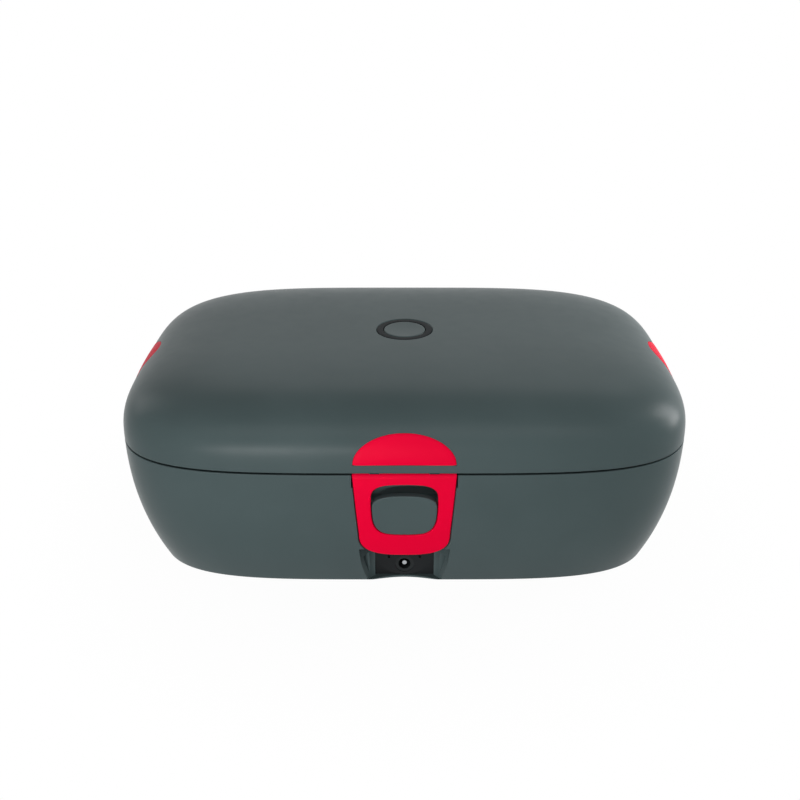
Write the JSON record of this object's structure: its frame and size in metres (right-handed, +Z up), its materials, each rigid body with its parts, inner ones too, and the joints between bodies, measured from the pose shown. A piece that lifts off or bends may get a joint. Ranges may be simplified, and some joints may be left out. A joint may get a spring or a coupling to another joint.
{
  "type": "electric lunch box",
  "caption": "Heated lunch box with a squared oval body, rear-hinged lid, swing-down latches, round lid button with a light ring, heated inner dish and a low-voltage inlet",
  "frame": {"origin": "on the ground under the middle of the closed box", "axes": "+X to the right across the long side, +Y to the back where the hinge is, +Z up"},
  "size_m": [0.266, 0.1822, 0.0975],
  "materials": {
    "grey_shell": "satin moulded",
    "red_trim": "satin moulded",
    "black_plastic": "matte moulded",
    "rubber": "matte",
    "silicone": "matte",
    "dish_steel": "brushed",
    "aluminium": "milled",
    "steel": "plated",
    "foam": "foam",
    "foil": "film",
    "board": "lacquered",
    "wire": "extruded",
    "gold": "plated",
    "smoked_ring": "smooth",
    "lamp": "smooth"
  },
  "bodies": {
    "base": {"base_shell": "grey_shell", "bottom_cover": "black_plastic", "cover_screws": "steel", "rubber_feet": "rubber", "base_liner": "black_plastic", "food_dish": "dish_steel", "heating_plate": "aluminium", "heating_foil": "foil", "plate_insulation": "foam", "thermal_cutout": "lamp", "temperature_sensor": "black_plastic", "control_board": "board", "board_components": "black_plastic", "board_screws": "steel", "inlet_housing": "black_plastic", "inlet_jack": "black_plastic", "inlet_pin": "steel", "inlet_lead": "wire", "heater_lead": "wire", "contact_block": "black_plastic", "contact_pins": "gold", "contact_lead": "wire", "hinge_base": "grey_shell", "hinge_pins": "steel", "latch_pins": "steel"},
    "lid": {"lid_shell": "grey_shell", "lid_liner": "black_plastic", "lid_gasket": "silicone", "lid_insulation": "foam", "lid_screws": "steel", "contact_pads": "gold", "lid_lead": "wire", "light_ring": "smoked_ring", "tact_switch": "steel", "button_board": "board", "ring_lamps": "lamp", "button_carrier": "black_plastic", "carrier_screws": "steel", "cap_front": "red_trim", "cap_left": "red_trim", "cap_right": "red_trim", "hinge_lid": "grey_shell"},
    "front_latch": {"latch_front": "red_trim"},
    "left_latch": {"latch_left": "red_trim"},
    "right_latch": {"latch_right": "red_trim"},
    "button": {"button_cap": "grey_shell", "switch_plunger": "black_plastic"}
  },
  "joints": [
    {"name": "lid_hinge", "type": "hinge", "parent": "base", "child": "lid", "pos_m": [0, 0.0895, 0.0655], "axis": [-1, 0, 0], "range_deg": [0, 100]},
    {"name": "front_latch_swing", "type": "hinge", "parent": "base", "child": "front_latch", "pos_m": [0, -0.0871, 0.06325], "axis": [-1, 0, 0], "range_deg": [0, 90]},
    {"name": "left_latch_swing", "type": "hinge", "parent": "base", "child": "left_latch", "pos_m": [-0.1301, 0, 0.06325], "axis": [0, 1, 0], "range_deg": [0, 90]},
    {"name": "right_latch_swing", "type": "hinge", "parent": "base", "child": "right_latch", "pos_m": [0.1301, 0, 0.06325], "axis": [0, -1, 0], "range_deg": [0, 90]},
    {"name": "button_press", "type": "slide", "parent": "lid", "child": "button", "axis": [0, 0, -1], "range_m": [0, 0.0008], "stiffness_N_per_m": 1200}
  ]
}
